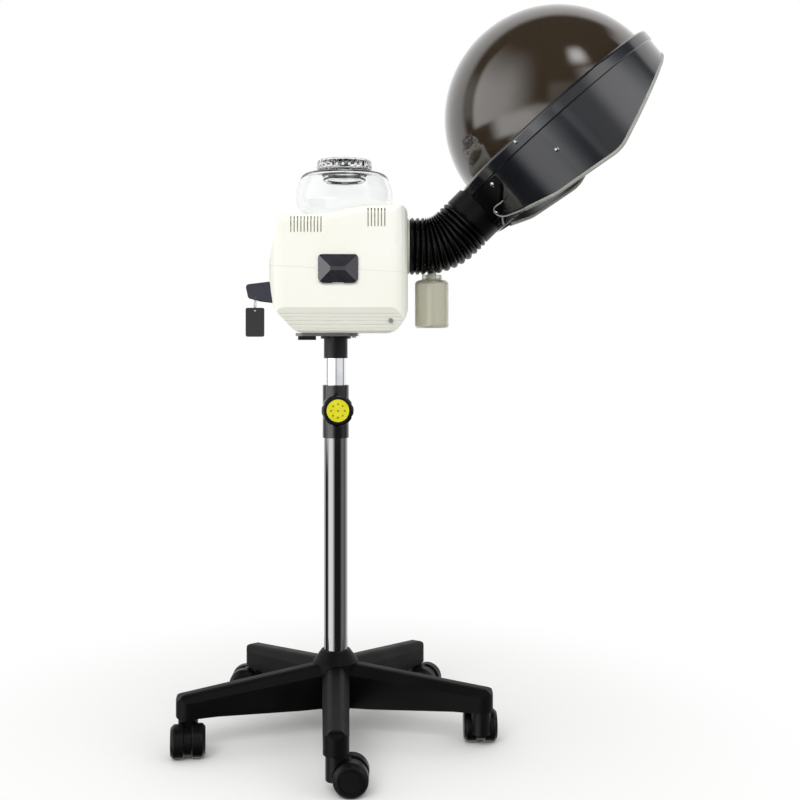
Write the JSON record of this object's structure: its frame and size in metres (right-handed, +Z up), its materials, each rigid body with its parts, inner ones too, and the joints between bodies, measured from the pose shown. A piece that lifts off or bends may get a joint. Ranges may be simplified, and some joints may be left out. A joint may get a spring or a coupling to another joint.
{
  "type": "hair steamer",
  "caption": "Wheeled salon hair steamer: castor star base, telescopic column, steam housing with glass water jar, ribbed steam hose and tilting domed hood.",
  "frame": {"origin": "on the floor, on the axis of the column", "axes": "+Z up, +X towards the hood, -Y towards the side that shows in the picture"},
  "size_m": [0.7617, 0.4846, 1.1584],
  "materials": {
    "star_plastic": "satin",
    "castor_plastic": "satin",
    "column_paint": "gloss",
    "tube_chrome": "polished",
    "fixing_steel": "bright",
    "bush_plastic": "smooth",
    "pad_rubber": "matt",
    "knob_plastic": "gloss",
    "disc_yellow": "gloss",
    "socket_plastic": "satin",
    "plate_paint": "satin",
    "case_cream": "gloss",
    "catch_plastic": "gloss",
    "tag_plastic": "gloss",
    "gland_rubber": "matt",
    "panel_plastic": "satin",
    "dial_plastic": "gloss",
    "rocker_plastic": "gloss",
    "lamp_red": "gloss",
    "boiler_steel": "drawn",
    "element_sheath": "oxidised",
    "feed_silicone": "matt",
    "jar_glass": "clear",
    "outlet_plastic": "gloss",
    "bottle_plastic": "translucent",
    "hose_rubber": "satin",
    "saddle_plastic": "satin",
    "skirt_plastic": "gloss",
    "dome_smoked": "gloss",
    "bead_trim": "gloss",
    "diffuser_plastic": "satin"
  },
  "bodies": {
    "stand": {"star_base": "star_plastic", "column_bolt": "fixing_steel", "outer_tube": "column_paint", "guide_bush": "bush_plastic", "clamp_sleeve": "column_paint"},
    "brake": {"brake_pad": "pad_rubber"},
    "knob": {"clamp_stud": "fixing_steel", "clamp_knob": "knob_plastic", "knob_disc": "disc_yellow"},
    "mast": {"inner_tube": "tube_chrome"},
    "head": {"tube_socket": "socket_plastic", "base_plate": "plate_paint", "lower_shell": "case_cream", "upper_shell": "case_cream", "shell_screws": "fixing_steel", "handle": "socket_plastic", "cord_gland": "gland_rubber", "control_panel": "panel_plastic", "pilot_lamp": "lamp_red", "boiler_tank": "boiler_steel", "boiler_lid": "boiler_steel", "heating_element": "element_sheath", "feed_tube": "feed_silicone", "steam_pipe": "boiler_steel", "outlet_adaptor": "outlet_plastic", "lower_arm": "fixing_steel", "arm_pin": "fixing_steel", "steam_hose": "hose_rubber"},
    "catch_near": {"side_catch_near": "catch_plastic"},
    "catch_far": {"side_catch_far": "catch_plastic"},
    "ring": {"tag_ring": "fixing_steel"},
    "tag": {"tag": "tag_plastic"},
    "timer": {"timer_knob": "dial_plastic"},
    "rocker": {"power_rocker": "rocker_plastic"},
    "jar": {"water_jar": "jar_glass"},
    "lid": {"jar_lid": "jar_glass", "lid_seals": "gland_rubber"},
    "bottle": {"drip_bottle": "bottle_plastic"},
    "hood": {"upper_arm": "fixing_steel", "hood_saddle": "saddle_plastic", "hood_skirt": "skirt_plastic", "hood_dome": "dome_smoked", "edge_bead": "bead_trim", "hood_screws": "fixing_steel", "steam_diffuser": "diffuser_plastic"},
    "castor_1": {"castor_1_frame": "castor_plastic"},
    "castor_1_a": {"castor_1_wheel_a": "castor_plastic"},
    "castor_1_b": {"castor_1_wheel_b": "castor_plastic"},
    "castor_2": {"castor_2_frame": "castor_plastic"},
    "castor_2_a": {"castor_2_wheel_a": "castor_plastic"},
    "castor_2_b": {"castor_2_wheel_b": "castor_plastic"},
    "castor_3": {"castor_3_frame": "castor_plastic"},
    "castor_3_a": {"castor_3_wheel_a": "castor_plastic"},
    "castor_3_b": {"castor_3_wheel_b": "castor_plastic"},
    "castor_4": {"castor_4_frame": "castor_plastic"},
    "castor_4_a": {"castor_4_wheel_a": "castor_plastic"},
    "castor_4_b": {"castor_4_wheel_b": "castor_plastic"},
    "castor_5": {"castor_5_frame": "castor_plastic"},
    "castor_5_a": {"castor_5_wheel_a": "castor_plastic"},
    "castor_5_b": {"castor_5_wheel_b": "castor_plastic"}
  },
  "joints": [
    {"name": "brake_slide", "type": "slide", "parent": "stand", "child": "brake", "axis": [0.1219, -0.9925, 0], "range_m": [0, 0.0023]},
    {"name": "knob_turn", "type": "hinge", "parent": "brake", "child": "knob", "pos_m": [0, 0, 0.518], "axis": [0.1219, -0.9925, 0], "range_deg": [0, 540]},
    {"name": "column_lift", "type": "slide", "parent": "stand", "child": "mast", "axis": [0, 0, 1], "range_m": [-0.04, 0.3]},
    {"name": "head_swivel", "type": "hinge", "parent": "mast", "child": "head", "pos_m": [0, 0, 0.615], "axis": [0, 0, 1], "range_deg": [-180, 180]},
    {"name": "hood_tilt", "type": "hinge", "parent": "head", "child": "hood", "pos_m": [0.172, 0, 0.778], "axis": [0, 1, 0], "range_deg": [-10, 38], "deforming": ["steam_hose"]},
    {"name": "catch_near_flip", "type": "hinge", "parent": "head", "child": "catch_near", "pos_m": [0.009, -0.0845, 0.758], "axis": [-1, 0, 0], "range_deg": [0, 20], "stiffness_Nm_per_rad": 0.05, "springref_deg": -17.19},
    {"name": "catch_far_flip", "type": "hinge", "parent": "head", "child": "catch_far", "pos_m": [0.009, 0.0845, 0.758], "axis": [1, 0, 0], "range_deg": [0, 20], "stiffness_Nm_per_rad": 0.05, "springref_deg": -17.19},
    {"name": "ring_swing", "type": "hinge", "parent": "head", "child": "ring", "pos_m": [-0.1218, -0.057, 0.694], "axis": [0, 1, 0], "range_deg": [-15, 15]},
    {"name": "tag_swing", "type": "hinge", "parent": "ring", "child": "tag", "pos_m": [-0.1218, -0.057, 0.674], "axis": [0, 1, 0], "range_deg": [-15, 15]},
    {"name": "timer_turn", "type": "hinge", "parent": "head", "child": "timer", "pos_m": [-0.0898, -0.03, 0.783], "axis": [0.9719, 0, -0.2353], "range_deg": [0, 270]},
    {"name": "power_press", "type": "hinge", "parent": "head", "child": "rocker", "pos_m": [-0.07425, 0.02, 0.77924], "axis": [0, 1, 0], "range_deg": [0, 16]},
    {"name": "jar_lift", "type": "slide", "parent": "head", "child": "jar", "axis": [0, 0, 1], "range_m": [0, 0.12]},
    {"name": "lid_lift", "type": "slide", "parent": "jar", "child": "lid", "axis": [0, 0, 1], "range_m": [0, 0.06]},
    {"name": "bottle_pull", "type": "slide", "parent": "head", "child": "bottle", "axis": [0, 0, -1], "range_m": [0, 0.06]},
    {"name": "castor_1_swivel", "type": "hinge", "parent": "stand", "child": "castor_1", "pos_m": [0.01441, -0.23556, 0.06], "axis": [0, 0, 1], "continuous": true},
    {"name": "castor_1_roll_a", "type": "hinge", "parent": "castor_1", "child": "castor_1_a", "pos_m": [0.03541, -0.23556, 0.025], "axis": [0, 1, 0], "continuous": true},
    {"name": "castor_1_roll_b", "type": "hinge", "parent": "castor_1", "child": "castor_1_b", "pos_m": [0.03541, -0.23556, 0.025], "axis": [0, 1, 0], "continuous": true},
    {"name": "castor_2_swivel", "type": "hinge", "parent": "stand", "child": "castor_2", "pos_m": [0.22848, -0.05909, 0.06], "axis": [0, 0, 1], "continuous": true},
    {"name": "castor_2_roll_a", "type": "hinge", "parent": "castor_2", "child": "castor_2_a", "pos_m": [0.22848, -0.03809, 0.025], "axis": [-1, 0, 0], "continuous": true},
    {"name": "castor_2_roll_b", "type": "hinge", "parent": "castor_2", "child": "castor_2_b", "pos_m": [0.22848, -0.03809, 0.025], "axis": [-1, 0, 0], "continuous": true},
    {"name": "castor_3_swivel", "type": "hinge", "parent": "stand", "child": "castor_3", "pos_m": [0.1268, 0.19904, 0.06], "axis": [0, 0, 1], "continuous": true},
    {"name": "castor_3_roll_a", "type": "hinge", "parent": "castor_3", "child": "castor_3_a", "pos_m": [0.14654, 0.19186, 0.025], "axis": [0.342, 0.9397, 0], "continuous": true},
    {"name": "castor_3_roll_b", "type": "hinge", "parent": "castor_3", "child": "castor_3_b", "pos_m": [0.14654, 0.19186, 0.025], "axis": [0.342, 0.9397, 0], "continuous": true},
    {"name": "castor_4_swivel", "type": "hinge", "parent": "stand", "child": "castor_4", "pos_m": [-0.15011, 0.1821, 0.06], "axis": [0, 0, 1], "continuous": true},
    {"name": "castor_4_roll_a", "type": "hinge", "parent": "castor_4", "child": "castor_4_a", "pos_m": [-0.17111, 0.1821, 0.025], "axis": [0, -1, 0], "continuous": true},
    {"name": "castor_4_roll_b", "type": "hinge", "parent": "castor_4", "child": "castor_4_b", "pos_m": [-0.17111, 0.1821, 0.025], "axis": [0, -1, 0], "continuous": true},
    {"name": "castor_5_swivel", "type": "hinge", "parent": "stand", "child": "castor_5", "pos_m": [-0.21958, -0.08649, 0.06], "axis": [0, 0, 1], "continuous": true},
    {"name": "castor_5_roll_a", "type": "hinge", "parent": "castor_5", "child": "castor_5_a", "pos_m": [-0.21593, -0.10718, 0.025], "axis": [0.9848, 0.1736, 0], "continuous": true},
    {"name": "castor_5_roll_b", "type": "hinge", "parent": "castor_5", "child": "castor_5_b", "pos_m": [-0.21593, -0.10718, 0.025], "axis": [0.9848, 0.1736, 0], "continuous": true}
  ],
  "couplings": [
    {"joint": "brake_slide", "follows": "knob_turn", "m_per_rad": 0.00023873}
  ]
}
